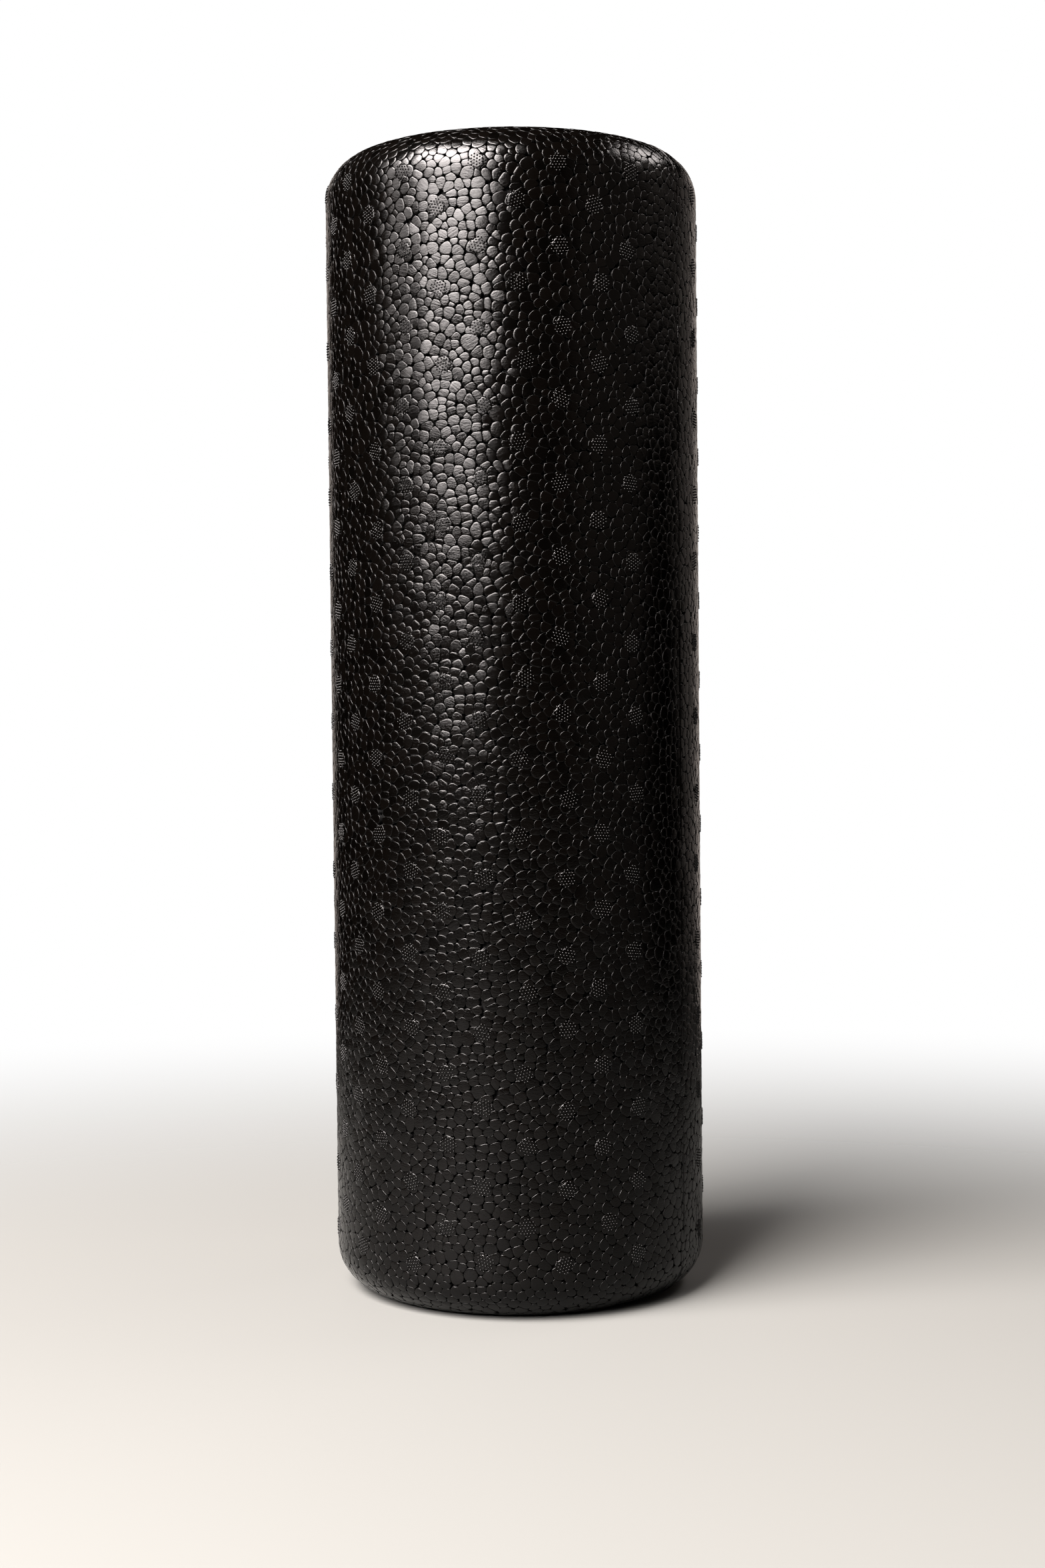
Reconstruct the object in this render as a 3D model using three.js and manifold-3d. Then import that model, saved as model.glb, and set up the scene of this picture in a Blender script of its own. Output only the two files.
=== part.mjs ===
// A solid foam roller, standing upright on one end.
// It is one moulding: foam beads fused by steam in a two-part mould, with no core and no cover.
// The roller's axis is +Z, and Z is zero on the end that it stands on. Lengths are millimetres.

import * as THREE from 'three';
import { mergeVertices } from 'three/addons/utils/BufferGeometryUtils.js';
import Module from 'manifold-3d';

// The moulding
const ROLLER_RADIUS = 75;
const ROLLER_LENGTH = 457;
const SHOULDER_RADIUS = 18;
const SEGMENTS_AROUND = 96;
const SEGMENTS_PER_SHOULDER = 9;

// The witness line where the mould's two halves met: a low rib along both sides
const RIB_WIDTH = 0.8;
const RIB_HEIGHT = 0.3;
const RIB_ANGLE_DEGREES = -30;

// Black moulded foam
const FOAM_COLOUR = 0x1b1a19;
const FOAM_ROUGHNESS = 0.55;
const FOAM_METALNESS = 0;

const FLAT_RADIUS = ROLLER_RADIUS - SHOULDER_RADIUS;
const QUARTER_TURN = Math.PI / 2;

const wasm = await Module();
wasm.setup();

// Points of one rounded shoulder, from the flat end face round to the side
function shoulderPoints(centreHeight, startAngle, endAngle, radius) {
  const points = [];
  for (let step = 0; step <= SEGMENTS_PER_SHOULDER; step += 1) {
    const angle = startAngle + (endAngle - startAngle) * (step / SEGMENTS_PER_SHOULDER);
    const across = FLAT_RADIUS + radius * Math.cos(angle);
    const along = centreHeight + radius * Math.sin(angle);
    points.push(new THREE.Vector2(across, along));
  }
  return points;
}

// Half of the roller's outline, from the bottom end face's centre to the top one's
function halfOutline() {
  const bottomShoulder = shoulderPoints(SHOULDER_RADIUS, -QUARTER_TURN, 0, SHOULDER_RADIUS);
  const topShoulder = shoulderPoints(ROLLER_LENGTH - SHOULDER_RADIUS, 0, QUARTER_TURN, SHOULDER_RADIUS);
  return [
    new THREE.Vector2(0, 0),
    ...bottomShoulder,
    ...topShoulder,
    new THREE.Vector2(0, ROLLER_LENGTH),
  ];
}

// The round body, turned so that its axis is +Z
function roundBody() {
  const geometry = new THREE.LatheGeometry(halfOutline(), SEGMENTS_AROUND);
  geometry.rotateX(QUARTER_TURN);
  return geometry;
}

// A thin upright plate through the axis. Its rim stands proud of the body's side and shoulders,
// and it ends level with the two end faces.
function ribPlate() {
  const ribRadius = SHOULDER_RADIUS + RIB_HEIGHT;
  const endAngle = Math.asin(SHOULDER_RADIUS / ribRadius);
  const bottomShoulder = shoulderPoints(SHOULDER_RADIUS, -endAngle, 0, ribRadius);
  const topShoulder = shoulderPoints(ROLLER_LENGTH - SHOULDER_RADIUS, 0, endAngle, ribRadius);
  const rightSide = [...bottomShoulder, ...topShoulder];
  const leftSide = rightSide.map((point) => new THREE.Vector2(-point.x, point.y)).reverse();
  const plate = new THREE.Shape([...rightSide, ...leftSide]);
  const geometry = new THREE.ExtrudeGeometry(plate, { depth: RIB_WIDTH, bevelEnabled: false });
  geometry.translate(0, 0, -RIB_WIDTH / 2);
  geometry.rotateX(QUARTER_TURN);
  geometry.rotateZ(THREE.MathUtils.degToRad(RIB_ANGLE_DEGREES));
  return geometry;
}

// A three.js geometry as a solid that can be joined
function toSolid(geometry) {
  const plain = geometry.clone();
  plain.deleteAttribute('normal');
  plain.deleteAttribute('uv');
  const welded = mergeVertices(plain);
  const mesh = new wasm.Mesh({
    numProp: 3,
    vertProperties: new Float32Array(welded.attributes.position.array),
    triVerts: new Uint32Array(welded.index.array),
  });
  return new wasm.Manifold(mesh);
}

// A joined solid as a three.js geometry
function toGeometry(solid) {
  const mesh = solid.getMesh();
  const geometry = new THREE.BufferGeometry();
  geometry.setAttribute('position', new THREE.BufferAttribute(new Float32Array(mesh.vertProperties), 3));
  geometry.setIndex(new THREE.BufferAttribute(new Uint32Array(mesh.triVerts), 1));
  geometry.computeVertexNormals();
  return geometry;
}

function rollerBody() {
  const solid = toSolid(roundBody()).add(toSolid(ribPlate()));
  const foam = new THREE.MeshStandardMaterial({
    color: FOAM_COLOUR,
    roughness: FOAM_ROUGHNESS,
    metalness: FOAM_METALNESS,
  });
  const body = new THREE.Mesh(toGeometry(solid), foam);
  body.name = 'roller_body';
  return body;
}

const roller = new THREE.Group();
roller.name = 'foam_roller';
roller.add(rollerBody());

export default roller;
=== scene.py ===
import math

import bpy
import numpy as np
from mathutils import Matrix, Vector, kdtree


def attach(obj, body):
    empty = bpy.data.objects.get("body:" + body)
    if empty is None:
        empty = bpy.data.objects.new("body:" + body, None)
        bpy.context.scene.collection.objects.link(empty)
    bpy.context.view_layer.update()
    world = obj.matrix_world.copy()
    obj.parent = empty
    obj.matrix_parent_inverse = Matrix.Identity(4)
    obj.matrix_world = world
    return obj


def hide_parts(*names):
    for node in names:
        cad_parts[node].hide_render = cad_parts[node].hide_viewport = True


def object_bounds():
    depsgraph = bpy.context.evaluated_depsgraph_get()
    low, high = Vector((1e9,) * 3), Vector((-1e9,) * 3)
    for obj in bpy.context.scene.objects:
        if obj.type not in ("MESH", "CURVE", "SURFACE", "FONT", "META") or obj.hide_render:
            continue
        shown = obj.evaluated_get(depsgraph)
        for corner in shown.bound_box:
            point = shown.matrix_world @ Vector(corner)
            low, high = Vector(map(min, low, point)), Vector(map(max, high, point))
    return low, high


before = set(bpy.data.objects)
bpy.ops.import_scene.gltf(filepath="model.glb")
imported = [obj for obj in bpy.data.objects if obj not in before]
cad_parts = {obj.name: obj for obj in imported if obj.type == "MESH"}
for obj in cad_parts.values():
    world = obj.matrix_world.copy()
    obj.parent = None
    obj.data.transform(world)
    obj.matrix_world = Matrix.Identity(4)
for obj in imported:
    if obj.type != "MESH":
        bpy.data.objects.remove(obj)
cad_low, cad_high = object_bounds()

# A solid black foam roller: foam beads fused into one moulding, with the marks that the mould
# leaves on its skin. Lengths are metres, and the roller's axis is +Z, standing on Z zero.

MM = 0.001
NEARLY_ZERO = 1e-6

# The moulding, from the CAD box; the shoulder is as in part.mjs
LENGTH = cad_high.z - cad_low.z
RADIUS = (cad_high.x - cad_low.x) / 2
SHOULDER = 18 * MM
FLAT_RADIUS = RADIUS - SHOULDER
STRAIGHT_LENGTH = LENGTH - 2 * SHOULDER

# How the beads are packed
BEAD_COUNT = 16600
BEAD_SIZE_SPREAD = 0.16  # the standard deviation of bead size, as a share of the mean
CROWDING = 1.05  # a typical bead's radius, as a share of half the mean pitch
START_SCATTER = 0.45  # how far beads start from an even spiral, as a share of the mean pitch
END_POINTS, SHOULDER_POINTS = 400, 200  # of the outline that the roller's area is summed along
SETTLING_ROUNDS = 9
ROUNDS_PER_SEARCH = 3  # the rounds before each bead's neighbours are looked up again
PUSH = 0.35  # the share of an overlap that each of two beads gives way by in one round
NEIGHBOURS = 12
FLATTENING = 1.22  # the beads are this much wider than they are tall

# Each bead's outline
SIDES_PER_BEAD = 14
NEAREST_WALL, FARTHEST_WALL = 0.3, 0.7  # between two beads, as shares of the way across
CORNER_SHARPNESS = 6.0  # higher keeps the corners that neighbours squeeze a bead into
FAINTEST_PRESS = 0.05  # how much a neighbour that is off to one side still counts
LONGEST_CORNER = 1.5  # how far a corner may reach, as a share of the bead's mean reach
LARGEST_DENT = 0.03  # how far an outline is pushed in, as a share of the bead's reach
DENT_LOBES = (2, 3)  # how many dents go round a bead
SMALLEST_GAP, LARGEST_GAP = 0.00 * MM, 0.03 * MM
SQUEEZE = 1.05  # presses the outlines into each other, so that the grooves are only creases

# Each bead's face and edge
GROOVE_DEPTH = 2.4 * MM
SMALLEST_ROUNDING, LARGEST_ROUNDING = 0.05 * MM, 0.14 * MM
MOST_ROUNDING = 0.16  # the largest rounding of a small bead, as a share of its smallest reach
FLAT_EDGE = 5.5  # the face stays flat to this many roundings from its edge
EDGE_INSET, EDGE_DROP = 0.35, 0.25  # a point partway round the edge, in roundings
SKIN_OF_RINGS = [1, 1, 1, 1, 0.35, 0]  # centre to groove: pressed smooth by the mould, or raw
DOME_HEIGHT = 0.06 * MM
TILT = 0.028  # the slope of a typical bead's face against the mould wall
HEIGHT_SPREAD = 0.04 * MM
GRAIN_TURN = 0.3  # how far a typical bead's wrinkles turn from level, in radians
MIDDLE_TONE = 0.5  # of the marks and the inner body; the beads' tones run from 0 to 1

# Steam-vent marks: each is a patch of small pips, where foam pressed into a vent's holes
VENT_COLUMNS_PER_HALF = 13
VENT_COLUMN_STEP = math.radians(11.9)
VENT_COLUMN_FROM_PARTING = math.radians(22.3)
VENT_ROWS_EACH_WAY = 7  # above and below the middle row
VENT_ROW_STEP = 29.8 * MM
VENT_MIDDLE_RISE = 3 * MM  # the middle row is this far above the roller's middle
END_VENTS = ((1, 0.0), (6, 30 * MM))  # rings on each end: how many vents, how far from the axis
VENT_JITTER = 1.0 * MM
VENT_RADIUS = 3.3 * MM
PATCH_SIDES = 20
SMALLEST_PATCH, LARGEST_PATCH = 0.85, 1.06  # the pressed patch's reach, as shares of the vent's
INNER_RING, OUTER_RING = 0.5, 0.85  # the patch's level part, as shares of its reach
VENT_LEVEL = -0.04 * MM
PATCH_EDGE_LEVEL = -0.12 * MM
PATCH_DEPTH = 0.6 * MM

# The pips
PIP_STEPS_EACH_WAY = 4
PIP_STEP = 1.24 * MM
PIP_RADIUS = 0.42 * MM
PIP_HEIGHT = 0.38 * MM
PIP_ROOT = 0.3 * MM
PIP_SIDES = 8
PIP_JITTER = 0.04 * MM
NARROWEST_PIP, WIDEST_PIP = 0.85, 1.05  # as shares of the pip radius
LOWEST_PIP, TALLEST_PIP = 0.7, 1.1  # as shares of the pip height
PIP_PROFILE = ((0.15, 0.97), (0.60, 0.62), (0.85, 0.25))  # shares of its radius and its height

# The inner body, just under the beads
INNER_DEPTH = 0.92 * GROOVE_DEPTH
INNER_SIDES, INNER_ARC_STEPS = 160, 10

# The parting line, where the mould's two halves met
PARTING_ANGLE = math.radians(-30)
FLASH_WIDTH = 0.28 * MM
FLASH_HEIGHT = 0.20 * MM
FLASH_STEP = 0.7 * MM
FLASH_ACROSS = np.array([-0.5, -0.32, 0.0, 0.32, 0.5])  # the ridge's section, in its widths
FLASH_RISE = np.array([-0.9, 0.55, 1.0, 0.55, -0.9])  # and in its heights
FLASH_WANDER, WANDER_STEPS = 0.12 * MM, 18  # how far it strays from straight, and how gently
MEAN_STRENGTH, STRENGTH_SPREAD, STRENGTH_STEPS = 0.55, 0.75, 22  # how it fades in and out
WEAKEST, STRONGEST = -0.6, 1.0
SUNKEN_DROP = 0.6  # where the strength is below zero, the ridge sinks by this share of its height

# The foam's look
SPECULAR_LEVEL = 0.128
DARKEST_BEAD = (0.00018, 0.00014, 0.00011, 1)
PALEST_BEAD = (0.00046, 0.00035, 0.00028, 1)
WRINKLE_STRETCH = (450.0, 1500.0, 60.0)  # per metre along and across them, and between beads
WRINKLE_DETAIL, WRINKLE_HARDNESS = 4.0, 0.65
WRINKLE_STRENGTH, WRINKLE_HEIGHT = 0.8, 0.12 * MM
PORES_PER_METRE = 2600.0
PORE_DETAIL = 3.0
PORE_STRENGTH, PORE_HEIGHT = 0.5, 0.03 * MM
LOW_WRINKLE, HIGH_WRINKLE = 0.3, 0.7  # the noise values where the skin is smoothest and roughest
SMOOTHEST_SKIN, ROUGHEST_SKIN, RAW_FOAM = 0.10, 0.165, 0.75  # roughness
RAW_FOAM_SKIN = 0.4  # at this skin value and under it, the foam is wholly raw

# The photograph's viewpoint
CAMERA_DISTANCE = 0.972
CAMERA_HEIGHT = 0.2412
CAMERA_LENS = 54.5
SENSOR_WIDTH = 36
CAMERA_PITCH = math.radians(2.19)
CAMERA_YAW = math.radians(-0.15)
CAMERA_ROLL = math.radians(-0.55)

# The pale floor
FLOOR_RADIUS = 1.2
FLOOR_SIDES = 64
FLOOR_CENTRE = (0, -0.3, 0)
FLOOR_FADE_START, FLOOR_FADE_END = 0.36, 1.05
FLOOR_COLOUR = (0.0622, 0.0638, 0.0600, 1)
FLOOR_ROUGHNESS = 0.7
AIR_COLOUR = (1.0, 1.0, 1.0, 1)

# The studio lights, which face a point on the roller's axis at this height
LIGHT_CENTRE = 0.25
KEY_COLOUR = (1.0, 0.925, 0.90)
RIM_COLOUR = (1.0, 0.87, 0.79)
# A broad key at the front left, a small one high on the right, and faint light from behind.
# Name, degrees to the right of the photograph's viewpoint, degrees above level, distance,
# width and height, watts, colour
LAMPS = (
    ("key_left", -35.5, 26.5, 1.8, (1.17, 0.75), 184, KEY_COLOUR),
    ("key_left_far", -67, 27.5, 1.8, (0.83, 0.75), 28.5, KEY_COLOUR),
    ("key_left_upper", -44, 49, 1.8, (1.36, 0.75), 366, KEY_COLOUR),
    ("spot_right", 114, 47, 1.6, (0.68, 0.36), 11, KEY_COLOUR),
    ("fill_right", 62, 15, 2.4, (2.2, 2.0), 3.6, RIM_COLOUR),
    ("side_right", 100, 28, 1.8, (0.9, 0.9), 1.2, RIM_COLOUR),
    ("back_right", 140, 8, 2.2, (1.4, 1.4), 1.55, RIM_COLOUR),
    ("back_wall", 180, 6, 2.2, (2.0, 1.4), 5.8, RIM_COLOUR),
)

SEED = 20
rng = np.random.default_rng(SEED)


def nearest_on_roller(points):
    """The nearest place on the smooth roller to each point, and the direction out of it."""
    across = np.hypot(points[:, 0], points[:, 1])
    inner_across = np.minimum(across, FLAT_RADIUS)
    shrink = inner_across / np.maximum(across, NEARLY_ZERO)
    core = points.copy()
    core[:, 0] *= shrink
    core[:, 1] *= shrink
    core[:, 2] = np.clip(points[:, 2], SHOULDER, LENGTH - SHOULDER)
    out = points - core
    out /= np.linalg.norm(out, axis=1, keepdims=True)
    return core + out * SHOULDER, out


def tangents(out):
    """Two directions along the surface at each point: round the axis, and towards the top."""
    spin = np.stack([-out[:, 1], out[:, 0], np.zeros(len(out))], axis=1)
    length = np.linalg.norm(spin, axis=1, keepdims=True)
    spin = np.where(length > NEARLY_ZERO, spin / np.maximum(length, NEARLY_ZERO), [1.0, 0.0, 0.0])
    return spin, np.cross(out, spin)


def at_angle(across, angle, height):
    """One place, from its distance from the axis, its angle round the axis and its height."""
    return [across * math.cos(angle), across * math.sin(angle), height]


def half_outline():
    """The lower half of the roller's outline, from the axis out, as distances across and up."""
    end = np.stack([np.linspace(0, FLAT_RADIUS, END_POINTS), np.zeros(END_POINTS)], axis=1)
    turn = np.linspace(-math.pi / 2, 0, SHOULDER_POINTS)
    across = FLAT_RADIUS + SHOULDER * np.cos(turn)
    shoulder = np.stack([across, SHOULDER + SHOULDER * np.sin(turn)], axis=1)
    return np.concatenate([end, shoulder])


def even_spread(count):
    """Points on the whole roller, evenly by area, on a golden-angle spiral."""
    lower = half_outline()
    upper = lower[::-1] * [1, -1] + [0, LENGTH]
    outline = np.concatenate([lower, upper])
    step = np.linalg.norm(np.diff(outline, axis=0), axis=1)
    area = np.concatenate([[0], np.cumsum(step * (outline[1:, 0] + outline[:-1, 0]))])
    wanted = (np.arange(count) + 0.5) / count * area[-1]
    across = np.interp(wanted, area, outline[:, 0])
    height = np.interp(wanted, area, outline[:, 1])
    angle = np.arange(count) * math.pi * (3 - math.sqrt(5))
    return np.stack([across * np.cos(angle), across * np.sin(angle), height], axis=1)


def nearest_neighbours(points, count):
    """For each point, the numbers of the other points nearest to it."""
    tree = kdtree.KDTree(len(points))
    for number, point in enumerate(points):
        tree.insert(point, number)
    tree.balance()
    return np.array([[found[1] for found in tree.find_n(p, count + 1)[1:]] for p in points])


def skin_area():
    """The area of the roller's side, its two flat ends and its two rounded shoulders."""
    side = 2 * math.pi * RADIUS * STRAIGHT_LENGTH
    ends = 2 * math.pi * FLAT_RADIUS**2
    shoulders = 2 * 2 * math.pi * SHOULDER * (FLAT_RADIUS * math.pi / 2 + SHOULDER)
    return side + ends + shoulders


def settled_beads():
    """Bead centres on the roller's skin, packed like balls of uneven size, and their sizes."""
    pitch = math.sqrt(skin_area() / BEAD_COUNT)
    sizes = pitch / 2 * CROWDING * np.exp(rng.normal(0, BEAD_SIZE_SPREAD, BEAD_COUNT))
    points = even_spread(BEAD_COUNT) + rng.normal(0, START_SCATTER * pitch, (BEAD_COUNT, 3))
    points, _ = nearest_on_roller(points)
    for turn in range(SETTLING_ROUNDS):
        if turn % ROUNDS_PER_SEARCH == 0:
            near = nearest_neighbours(points, NEIGHBOURS)
        offset = points[near] - points[:, None]
        gap = np.maximum(np.linalg.norm(offset * [1, 1, FLATTENING], axis=2), NEARLY_ZERO)
        overlap = np.clip(sizes[near] + sizes[:, None] - gap, 0, None)
        points = points - (offset * (PUSH * overlap / gap)[..., None]).sum(axis=1)
        points, _ = nearest_on_roller(points)
    return points, sizes


def walls_between(points, sizes, out):
    """Each bead's neighbours: the direction to each, and how far off the wall against it is."""
    spin, rise = tangents(out)
    near = nearest_neighbours(points, NEIGHBOURS)
    offset = points[near] - points[:, None]
    east = (offset * spin[:, None]).sum(axis=2)
    north = (offset * rise[:, None]).sum(axis=2)
    gap = np.maximum(np.hypot(east, north), NEARLY_ZERO)
    wall = gap / 2 + (sizes[:, None] ** 2 - sizes[near] ** 2) / (2 * gap)
    wall = np.clip(wall, NEAREST_WALL * gap, FARTHEST_WALL * gap)
    return np.arctan2(north, east), wall


def bead_outlines(points, sizes, out):
    """How far each bead reaches in each direction before its neighbours stop it."""
    direction, wall = walls_between(points, sizes, out)
    start = rng.uniform(0, 2 * math.pi, len(points))
    angle = start[:, None] + np.linspace(0, 2 * math.pi, SIDES_PER_BEAD, endpoint=False)
    facing = np.cos(angle[:, :, None] - direction[:, None, :])
    press = np.clip(facing, FAINTEST_PRESS, None) / wall[:, None, :]
    reach = (press**CORNER_SHARPNESS).sum(axis=2) ** (-1 / CORNER_SHARPNESS)
    reach = np.minimum(reach, LONGEST_CORNER * reach.mean(axis=1, keepdims=True))
    for lobes in DENT_LOBES:
        phase = rng.uniform(0, 2 * math.pi, (len(points), 1))
        dent = rng.uniform(0, LARGEST_DENT, (len(points), 1))
        reach = reach * (1 - dent * (1 + np.cos(lobes * angle + phase)) / 2)
    return angle, SQUEEZE * reach


def lay_on_skin(centres, out, east, north, height):
    """Points at east and north of each centre, laid on the roller's skin and raised by height."""
    spin, rise = tangents(out)
    flat = centres[:, None] + east[..., None] * spin[:, None] + north[..., None] * rise[:, None]
    base, up = nearest_on_roller(flat.reshape(-1, 3))
    return base + up * height.reshape(-1, 1)


def ring_faces(rings, sides):
    """The triangles and quads of one centre vertex and the rings of vertices round it."""
    here = np.arange(sides)
    after = (here + 1) % sides
    fan = np.stack([np.zeros(sides, int), 1 + here, 1 + after], axis=1)
    bands = []
    for ring in range(rings - 1):
        inner = 1 + ring * sides
        outer = inner + sides
        band = [inner + here, outer + here, outer + after, inner + after]
        bands.append(np.stack(band, axis=1))
    return fan, np.concatenate(bands)


def caps(centres, out, angle, reach_of_ring, height_of_ring, centre_height):
    """Many caps, each a centre vertex and its rings, as vertices, triangles and quads."""
    count, sides = angle.shape
    middle = np.zeros((count, 1))
    east = np.concatenate([middle] + [reach * np.cos(angle) for reach in reach_of_ring], axis=1)
    north = np.concatenate([middle] + [reach * np.sin(angle) for reach in reach_of_ring], axis=1)
    height = np.concatenate([centre_height[:, None]] + height_of_ring, axis=1)
    vertices = lay_on_skin(centres, out, east, north, height)
    fan, bands = ring_faces(len(reach_of_ring), sides)
    first = np.arange(count)[:, None, None] * east.shape[1]
    triangles = (fan[None] + first).reshape(-1, 3)
    quads = (bands[None] + first).reshape(-1, 4)
    return vertices, triangles, quads, east, north


def bead_grain(east, north):
    """Where each vertex is in its own bead's wrinkles, and each bead's place in the noise."""
    count = len(east)
    turn = rng.normal(0, GRAIN_TURN, (count, 1))
    along = east * np.cos(turn) + north * np.sin(turn)
    over = north * np.cos(turn) - east * np.sin(turn)
    place = np.broadcast_to(rng.uniform(0, 1, (count, 1)), east.shape)
    return np.stack([along, over, place], axis=2).reshape(-1, 3)


def bead_skin():
    """Every bead's face and its rounded edge down into the grooves."""
    points, sizes = settled_beads()
    _, out = nearest_on_roller(points)
    angle, reach = bead_outlines(points, sizes, out)
    count = len(points)
    reach = reach - rng.uniform(SMALLEST_GAP, LARGEST_GAP, (count, 1))
    rounding = rng.uniform(SMALLEST_ROUNDING, LARGEST_ROUNDING, (count, 1))
    rounding = np.minimum(rounding, MOST_ROUNDING * reach.min(axis=1, keepdims=True))
    level = rng.normal(0, HEIGHT_SPREAD, (count, 1))
    level = np.clip(level, -2 * HEIGHT_SPREAD, HEIGHT_SPREAD) - HEIGHT_SPREAD
    lean = rng.normal(0, TILT, (count, 2))

    def face_height(inset, drop):
        across = reach - inset
        slope = across * (np.cos(angle) * lean[:, :1] + np.sin(angle) * lean[:, 1:])
        dome = DOME_HEIGHT * (across / reach) ** 2
        return level + slope - dome - drop

    none = 0 * reach
    insets = [FLAT_EDGE * rounding, rounding, EDGE_INSET * rounding, none, none]
    drops = [none, none, EDGE_DROP * rounding, rounding, GROOVE_DEPTH + none]
    rings = [reach - inset for inset in insets]
    heights = [np.minimum(face_height(i, d), 0) for i, d in zip(insets, drops)]
    vertices, triangles, quads, east, north = caps(points, out, angle, rings, heights, level[:, 0])
    grain = bead_grain(east, north)
    tone = np.broadcast_to(rng.uniform(0, 1, (count, 1)), east.shape).reshape(-1)
    skin = np.repeat(SKIN_OF_RINGS, [1] + [SIDES_PER_BEAD] * len(rings))
    return vertices, triangles, quads, grain, tone, np.tile(skin, count)


def join(parts):
    """One set of vertices, faces and stored values from several."""
    vertices, triangles, quads, grain, tone, skin = [], [], [], [], [], []
    first = 0
    for part in parts:
        vertices.append(part[0])
        triangles.append(part[1] + first)
        quads.append(part[2] + first)
        grain.append(part[3])
        tone.append(part[4])
        skin.append(part[5])
        first += len(part[0])
    return [np.concatenate(each) for each in (vertices, triangles, quads, grain, tone, skin)]


def make_object(name, parts):
    """A smooth-shaded object that stores each vertex's wrinkle direction, tone and skin."""
    vertices, triangles, quads, grain, tone, skin = join(parts)
    vertices[:, 2] = np.maximum(vertices[:, 2], 0)
    corners = np.concatenate([triangles.reshape(-1), quads.reshape(-1)])
    sizes = np.concatenate([np.full(len(triangles), 3), np.full(len(quads), 4)])
    starts = np.concatenate([[0], np.cumsum(sizes)[:-1]])
    mesh = bpy.data.meshes.new(name)
    mesh.vertices.add(len(vertices))
    mesh.loops.add(len(corners))
    mesh.polygons.add(len(sizes))
    mesh.vertices.foreach_set("co", vertices.astype(np.float32).reshape(-1))
    mesh.loops.foreach_set("vertex_index", corners.astype(np.int32))
    mesh.polygons.foreach_set("loop_start", starts.astype(np.int32))
    mesh.update(calc_edges=True)
    mesh.shade_smooth()
    directions = mesh.attributes.new("grain", "FLOAT_VECTOR", "POINT")
    directions.data.foreach_set("vector", grain.astype(np.float32).reshape(-1))
    for attribute, values in (("tone", tone), ("skin", skin)):
        stored = mesh.attributes.new(attribute, "FLOAT", "POINT")
        stored.data.foreach_set("value", values.astype(np.float32))
    made = bpy.data.objects.new(name, mesh)
    bpy.context.scene.collection.objects.link(made)
    return made


def pressed_mark(vertices, triangles, quads, grain):
    """One mark of the mould: of the middle tone, and pressed smooth all over."""
    count = len(vertices)
    return vertices, triangles, quads, grain, np.full(count, MIDDLE_TONE), np.ones(count)


def vent_places():
    """Where the mould's steam vents were: staggered columns up the side, and rings on the ends."""
    places = []
    middle = LENGTH / 2 + VENT_MIDDLE_RISE
    full_rows = np.arange(-VENT_ROWS_EACH_WAY, VENT_ROWS_EACH_WAY + 1)
    rows_between = full_rows[:-1] + 0.5
    for half in range(2):
        first = PARTING_ANGLE + math.pi * half - VENT_COLUMN_FROM_PARTING
        for column in range(VENT_COLUMNS_PER_HALF):
            angle = first - column * VENT_COLUMN_STEP
            rows = full_rows if column % 2 == 0 else rows_between
            for row in rows:
                places.append(at_angle(RADIUS, angle, middle + row * VENT_ROW_STEP))
    for height in (0.0, LENGTH):
        for count, across in END_VENTS:
            for number in range(count):
                places.append(at_angle(across, 2 * math.pi * number / count, height))
    return np.array(places)


def full_turns(count, sides):
    """The same full turn of angles, for each of many outlines."""
    return np.broadcast_to(np.linspace(0, 2 * math.pi, sides, endpoint=False), (count, sides))


def vent_patches(vents, out):
    """The flat patch that each vent pressed into the beads."""
    count = len(vents)
    angle = full_turns(count, PATCH_SIDES)
    reach = VENT_RADIUS * rng.uniform(SMALLEST_PATCH, LARGEST_PATCH, (count, PATCH_SIDES))
    rings = [INNER_RING * reach, OUTER_RING * reach, reach, reach]
    none = 0 * reach
    level = VENT_LEVEL + none
    heights = [level, level, PATCH_EDGE_LEVEL + none, none - PATCH_DEPTH]
    vertices, triangles, quads, east, north = caps(vents, out, angle, rings, heights, level[:, 0])
    place = np.broadcast_to(rng.uniform(0, 1, (count, 1)), east.shape)
    grain = np.stack([east, north, place], axis=2).reshape(-1, 3)
    return pressed_mark(vertices, triangles, quads, grain)


def pip_centres(vents, out):
    """The pips of every vent mark, in a triangular grid on its patch."""
    steps = np.arange(-PIP_STEPS_EACH_WAY, PIP_STEPS_EACH_WAY + 1)
    column, row = [grid.reshape(-1) for grid in np.meshgrid(steps, steps)]
    grid_east = PIP_STEP * (column + 0.5 * row)
    grid_north = PIP_STEP * row * math.sqrt(3) / 2
    inside = np.hypot(grid_east, grid_north) < VENT_RADIUS
    grid_east, grid_north = grid_east[inside], grid_north[inside]
    turn = rng.uniform(0, math.pi / 3, (len(vents), 1))
    east = grid_east * np.cos(turn) - grid_north * np.sin(turn)
    north = grid_east * np.sin(turn) + grid_north * np.cos(turn)
    centres = lay_on_skin(vents, out, east, north, np.zeros(east.shape))
    centres += rng.normal(0, PIP_JITTER, centres.shape)
    return nearest_on_roller(centres)


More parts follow.
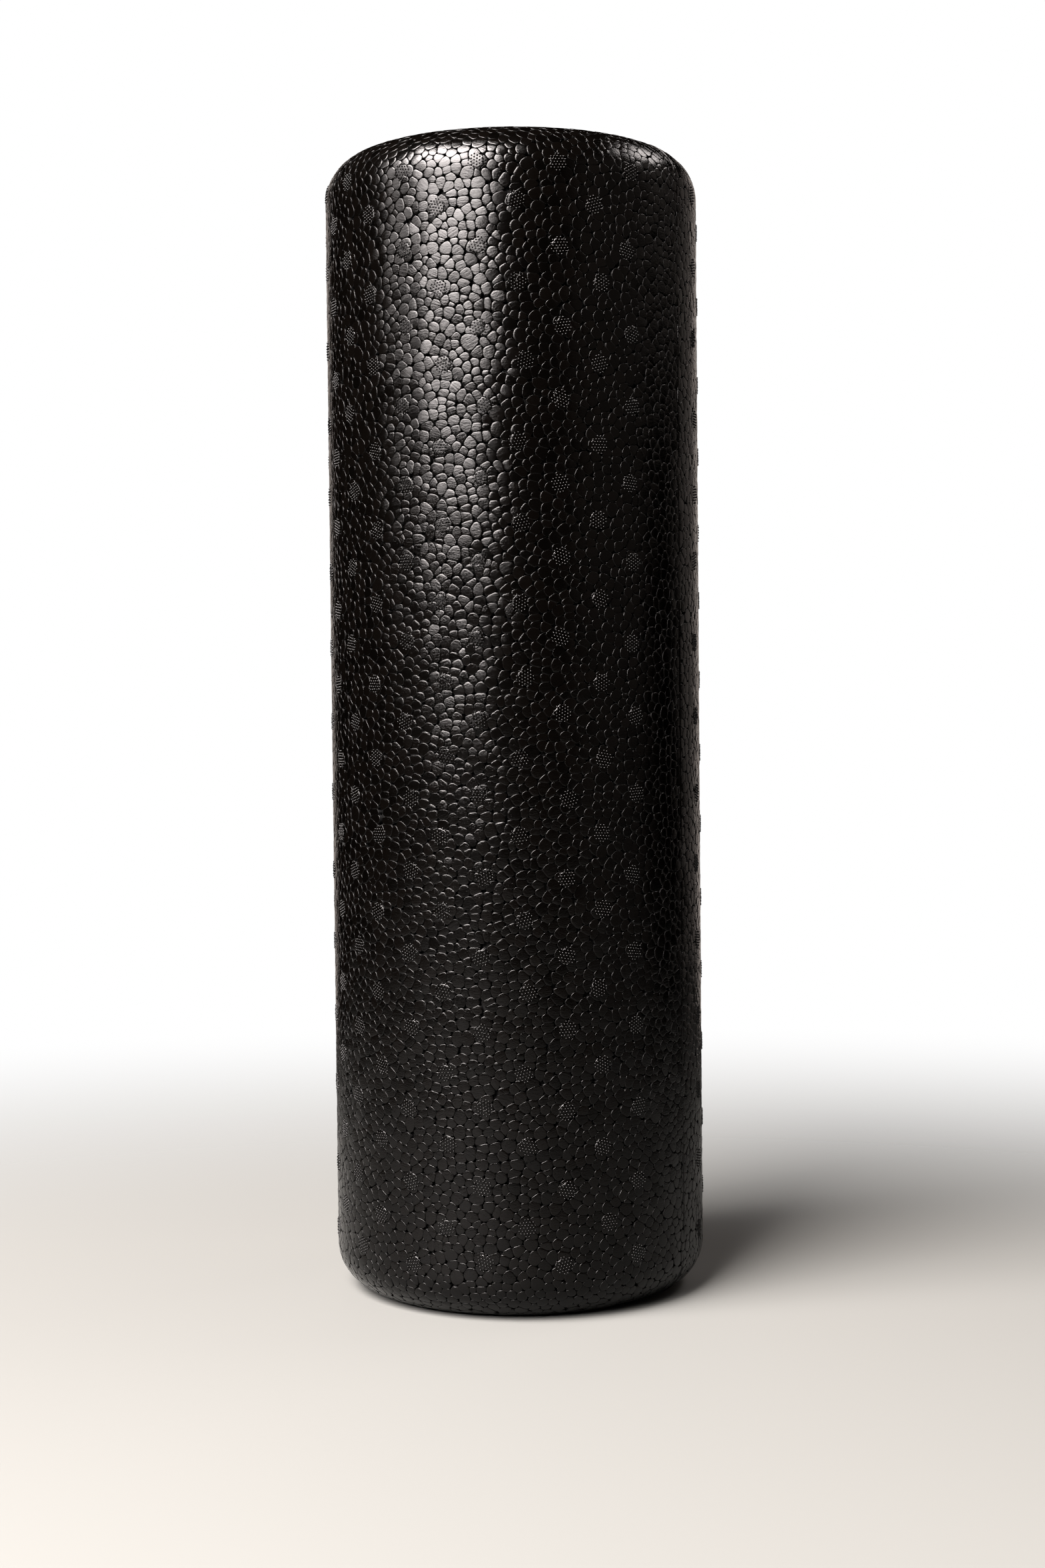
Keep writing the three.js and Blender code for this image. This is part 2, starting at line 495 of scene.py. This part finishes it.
def vent_pips(vents, out):
    """A small round-topped cone at each pip's centre, rooted in its patch."""
    centres, out = pip_centres(vents, out)
    count = len(centres)
    angle = full_turns(count, PIP_SIDES)
    radius = PIP_RADIUS * rng.uniform(NARROWEST_PIP, WIDEST_PIP, (count, 1)) + 0 * angle
    tip = PIP_HEIGHT * rng.uniform(LOWEST_PIP, TALLEST_PIP, (count, 1)) + 0 * angle
    rings = [share * radius for share, _ in PIP_PROFILE] + [radius]
    heights = [share * tip for _, share in PIP_PROFILE] + [0 * tip - PIP_ROOT]
    vertices, triangles, quads, _, _ = caps(centres, out, angle, rings, heights, tip[:, 0])
    return pressed_mark(vertices, triangles, quads, np.zeros((len(vertices), 3)))


def vent_marks():
    """All of the patches and pips."""
    vents = vent_places()
    vents = vents + rng.normal(0, VENT_JITTER, vents.shape)
    vents, out = nearest_on_roller(vents)
    return join([vent_patches(vents, out), vent_pips(vents, out)])


def inner_body():
    """The smooth body just under the beads, which closes the bottoms of the grooves."""
    turn = np.linspace(-math.pi / 2, 0, INNER_ARC_STEPS)
    arc = SHOULDER - INNER_DEPTH
    lower = np.stack([FLAT_RADIUS + arc * np.cos(turn), SHOULDER + arc * np.sin(turn)], axis=1)
    lower = np.concatenate([[[FLAT_RADIUS / 2, INNER_DEPTH]], lower])
    upper = lower[::-1] * [1, -1] + [0, LENGTH]
    outline = np.concatenate([lower, upper])
    angle = np.linspace(0, 2 * math.pi, INNER_SIDES, endpoint=False)
    across, height = outline[:, :1], np.broadcast_to(outline[:, 1:], (len(outline), INNER_SIDES))
    rings = np.stack([across * np.cos(angle), across * np.sin(angle), height], axis=2)
    bottom, top = [[0, 0, INNER_DEPTH]], [[0, 0, LENGTH - INNER_DEPTH]]
    vertices = np.concatenate([bottom, rings.reshape(-1, 3), top])
    fan, bands = ring_faces(len(outline), INNER_SIDES)
    last_ring = 1 + (len(outline) - 1) * INNER_SIDES
    here = np.arange(INNER_SIDES)
    after = (here + 1) % INNER_SIDES
    centre = np.full(INNER_SIDES, len(vertices) - 1)
    top_fan = np.stack([centre, last_ring + after, last_ring + here], axis=1)
    triangles = np.concatenate([fan[:, ::-1], top_fan])
    none = np.zeros(len(vertices))
    return vertices, triangles, bands[:, ::-1], np.zeros((len(vertices), 3)), none + MIDDLE_TONE, none


def smooth_noise(count, reach):
    """A random line of about unit height that varies over reach steps."""
    noise = rng.normal(0, 1, count + 4 * reach)
    window = np.hanning(2 * reach + 1)
    smooth = np.convolve(noise, window / np.sqrt((window**2).sum()), mode="same")
    return smooth[2 * reach : 2 * reach + count]


def flash_path(angle):
    """Evenly spaced places up the roller at one angle, over both shoulders and up the side."""
    arc = SHOULDER * math.pi / 2
    along = np.arange(0, 2 * arc + STRAIGHT_LENGTH, FLASH_STEP)
    turned_below = np.clip(along / arc, 0, 1) - 1
    turned_above = np.clip((along - arc - STRAIGHT_LENGTH) / arc, 0, 1)
    turn = (turned_below + turned_above) * math.pi / 2
    height = np.clip(along - arc, 0, STRAIGHT_LENGTH) + SHOULDER + SHOULDER * np.sin(turn)
    across = FLAT_RADIUS + SHOULDER * np.cos(turn)
    return np.stack([across * math.cos(angle), across * math.sin(angle), height], axis=1)


def flash_ridge(angle):
    """One fine ridge, straying a little from straight and fading in and out."""
    centres = flash_path(angle)
    _, out = nearest_on_roller(centres)
    wander = smooth_noise(len(centres), WANDER_STEPS) * FLASH_WANDER
    strength = MEAN_STRENGTH + STRENGTH_SPREAD * smooth_noise(len(centres), STRENGTH_STEPS)
    strength = np.clip(strength, WEAKEST, STRONGEST)[:, None]
    east = wander[:, None] + FLASH_WIDTH * FLASH_ACROSS
    lift = (FLASH_RISE * FLASH_HEIGHT) * np.abs(strength)
    lift = lift - FLASH_HEIGHT * SUNKEN_DROP * (strength < 0)
    vertices = lay_on_skin(centres, out, east, 0 * east, lift)
    points = len(FLASH_ACROSS)
    here = np.arange(len(centres) - 1)[:, None] * points + np.arange(points - 1)
    quads = np.stack([here, here + 1, here + points + 1, here + points], axis=2).reshape(-1, 4)
    return pressed_mark(vertices, np.zeros((0, 3), int), quads, np.zeros((len(vertices), 3)))


def parting_flash():
    """The two ridges, one on each side of the roller."""
    return join([flash_ridge(PARTING_ANGLE), flash_ridge(PARTING_ANGLE + math.pi)])


def stored_value(nodes, name):
    """A node that reads one of the values stored on the mesh."""
    node = nodes.new("ShaderNodeAttribute")
    node.attribute_name = name
    return node


def noise(nodes, scale, detail):
    """A noise node; a larger scale makes finer noise."""
    node = nodes.new("ShaderNodeTexNoise")
    node.inputs["Scale"].default_value = scale
    node.inputs["Detail"].default_value = detail
    return node


def bump(nodes, strength, height):
    """A bump node of this height, at this share of its full strength."""
    node = nodes.new("ShaderNodeBump")
    node.inputs["Strength"].default_value = strength
    node.inputs["Distance"].default_value = height
    return node


def bead_wrinkles(nodes, links):
    """Fine wrinkles that run along each bead, and differ from bead to bead."""
    grain = stored_value(nodes, "grain")
    stretch = nodes.new("ShaderNodeVectorMath")
    stretch.operation = "MULTIPLY"
    stretch.inputs[1].default_value = WRINKLE_STRETCH
    links.new(grain.outputs["Vector"], stretch.inputs[0])
    wrinkle = noise(nodes, scale=1.0, detail=WRINKLE_DETAIL)
    wrinkle.inputs["Roughness"].default_value = WRINKLE_HARDNESS
    links.new(stretch.outputs["Vector"], wrinkle.inputs["Vector"])
    return wrinkle.outputs["Fac"]


def bead_colour(nodes, links, shader):
    """Black, a little different from bead to bead."""
    tone = stored_value(nodes, "tone")
    colour = nodes.new("ShaderNodeMix")
    colour.data_type = "RGBA"
    colour.inputs["A"].default_value = DARKEST_BEAD
    colour.inputs["B"].default_value = PALEST_BEAD
    links.new(tone.outputs["Fac"], colour.inputs["Factor"])
    links.new(colour.outputs["Result"], shader.inputs["Base Color"])


def bead_roughness(nodes, links, shader, wrinkles):
    """Satin where the mould pressed the skin, and rough in the raw grooves."""
    gloss = nodes.new("ShaderNodeMapRange")
    gloss.inputs["From Min"].default_value = LOW_WRINKLE
    gloss.inputs["From Max"].default_value = HIGH_WRINKLE
    gloss.inputs["To Min"].default_value = SMOOTHEST_SKIN
    gloss.inputs["To Max"].default_value = ROUGHEST_SKIN
    links.new(wrinkles, gloss.inputs["Value"])
    roughness = nodes.new("ShaderNodeMapRange")
    roughness.inputs["From Min"].default_value = RAW_FOAM_SKIN
    roughness.inputs["To Min"].default_value = RAW_FOAM
    links.new(stored_value(nodes, "skin").outputs["Fac"], roughness.inputs["Value"])
    links.new(gloss.outputs["Result"], roughness.inputs["To Max"])
    links.new(roughness.outputs["Result"], shader.inputs["Roughness"])


def bead_relief(nodes, links, shader, wrinkles):
    """The wrinkles, and the fine pores under them."""
    place = nodes.new("ShaderNodeTexCoord")
    pores = noise(nodes, scale=PORES_PER_METRE, detail=PORE_DETAIL)
    links.new(place.outputs["Object"], pores.inputs["Vector"])
    fine = bump(nodes, PORE_STRENGTH, PORE_HEIGHT)
    links.new(pores.outputs["Fac"], fine.inputs["Height"])
    creases = bump(nodes, WRINKLE_STRENGTH, WRINKLE_HEIGHT)
    links.new(wrinkles, creases.inputs["Height"])
    links.new(fine.outputs["Normal"], creases.inputs["Normal"])
    links.new(creases.outputs["Normal"], shader.inputs["Normal"])


def foam_material():
    """The black foam's skin."""
    material = bpy.data.materials.new("black_bead_foam")
    material.use_nodes = True
    nodes, links = material.node_tree.nodes, material.node_tree.links
    shader = nodes["Principled BSDF"]
    shader.inputs["Specular IOR Level"].default_value = SPECULAR_LEVEL
    wrinkles = bead_wrinkles(nodes, links)
    bead_colour(nodes, links, shader)
    bead_roughness(nodes, links, shader, wrinkles)
    bead_relief(nodes, links, shader, wrinkles)
    return material


def floor_material():
    """Pale paper that fades out far from the roller, so that no horizon shows."""
    material = bpy.data.materials.new("pale_paper")
    material.use_nodes = True
    nodes, links = material.node_tree.nodes, material.node_tree.links
    shader = nodes["Principled BSDF"]
    shader.inputs["Base Color"].default_value = FLOOR_COLOUR
    shader.inputs["Roughness"].default_value = FLOOR_ROUGHNESS
    place = nodes.new("ShaderNodeTexCoord")
    distance = nodes.new("ShaderNodeVectorMath")
    distance.operation = "LENGTH"
    links.new(place.outputs["Object"], distance.inputs[0])
    fade = nodes.new("ShaderNodeMapRange")
    fade.interpolation_type = "SMOOTHSTEP"
    fade.inputs["From Min"].default_value = FLOOR_FADE_START
    fade.inputs["From Max"].default_value = FLOOR_FADE_END
    links.new(distance.outputs["Value"], fade.inputs["Value"])
    clear = nodes.new("ShaderNodeBsdfTransparent")
    mix = nodes.new("ShaderNodeMixShader")
    links.new(fade.outputs["Result"], mix.inputs["Fac"])
    links.new(shader.outputs["BSDF"], mix.inputs[1])
    links.new(clear.outputs["BSDF"], mix.inputs[2])
    links.new(mix.outputs["Shader"], nodes["Material Output"].inputs["Surface"])
    return material


def studio_floor():
    """A round pale floor under the roller."""
    mesh = bpy.data.meshes.new("studio_floor")
    turn = [2 * math.pi * step / FLOOR_SIDES for step in range(FLOOR_SIDES)]
    rim = [at_angle(FLOOR_RADIUS, angle, 0) for angle in turn]
    mesh.from_pydata(rim, [], [range(FLOOR_SIDES)])
    mesh.materials.append(floor_material())
    floor = bpy.data.objects.new("studio_floor", mesh)
    floor.location = FLOOR_CENTRE
    bpy.context.scene.collection.objects.link(floor)


def softbox(name, azimuth, elevation, distance, size, watts, colour):
    """A rectangular studio light facing the roller, which the camera doesn't see itself."""
    turn, rise = math.radians(azimuth), math.radians(elevation)
    level = math.cos(rise)
    out = Vector((math.sin(turn) * level, -math.cos(turn) * level, math.sin(rise)))
    light = bpy.data.lights.new(name, "AREA")
    light.shape = "RECTANGLE"
    light.size, light.size_y = size
    light.energy = watts
    light.color = colour
    box = bpy.data.objects.new(name, light)
    box.location = Vector((0, 0, LIGHT_CENTRE)) + distance * out
    box.rotation_euler = (-out).to_track_quat("-Z", "Y").to_euler()
    box.visible_camera = False
    bpy.context.scene.collection.objects.link(box)


def pale_air():
    """A pale surround that only the camera sees."""
    world = bpy.data.worlds.new("pale_air")
    world.use_nodes = True
    world.node_tree.nodes["Background"].inputs["Color"].default_value = AIR_COLOUR
    world.cycles_visibility.diffuse = False
    world.cycles_visibility.glossy = False
    bpy.context.scene.world = world
    bpy.context.scene.view_settings.view_transform = "Standard"


def camera():
    """The photograph's viewpoint: about level with the roller's middle, looking slightly down."""
    data = bpy.data.cameras.new("camera")
    data.sensor_width = SENSOR_WIDTH
    data.lens = CAMERA_LENS
    made = bpy.data.objects.new("camera", data)
    turned = Matrix.Rotation(CAMERA_YAW, 4, "Z")
    raised = Matrix.Rotation(math.pi / 2 - CAMERA_PITCH, 4, "X")
    facing = turned @ raised @ Matrix.Rotation(CAMERA_ROLL, 4, "Z")
    made.matrix_world = Matrix.Translation((0, -CAMERA_DISTANCE, CAMERA_HEIGHT)) @ facing
    bpy.context.scene.collection.objects.link(made)
    bpy.context.scene.camera = made


def roller():
    """The whole moulding, as one object."""
    made = make_object("foam_moulding", [bead_skin(), vent_marks(), parting_flash(), inner_body()])
    made.data.materials.append(foam_material())
    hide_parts("roller_body")
    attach(made, "root")


roller()
studio_floor()
for lamp in LAMPS:
    softbox(*lamp)
pale_air()
camera()
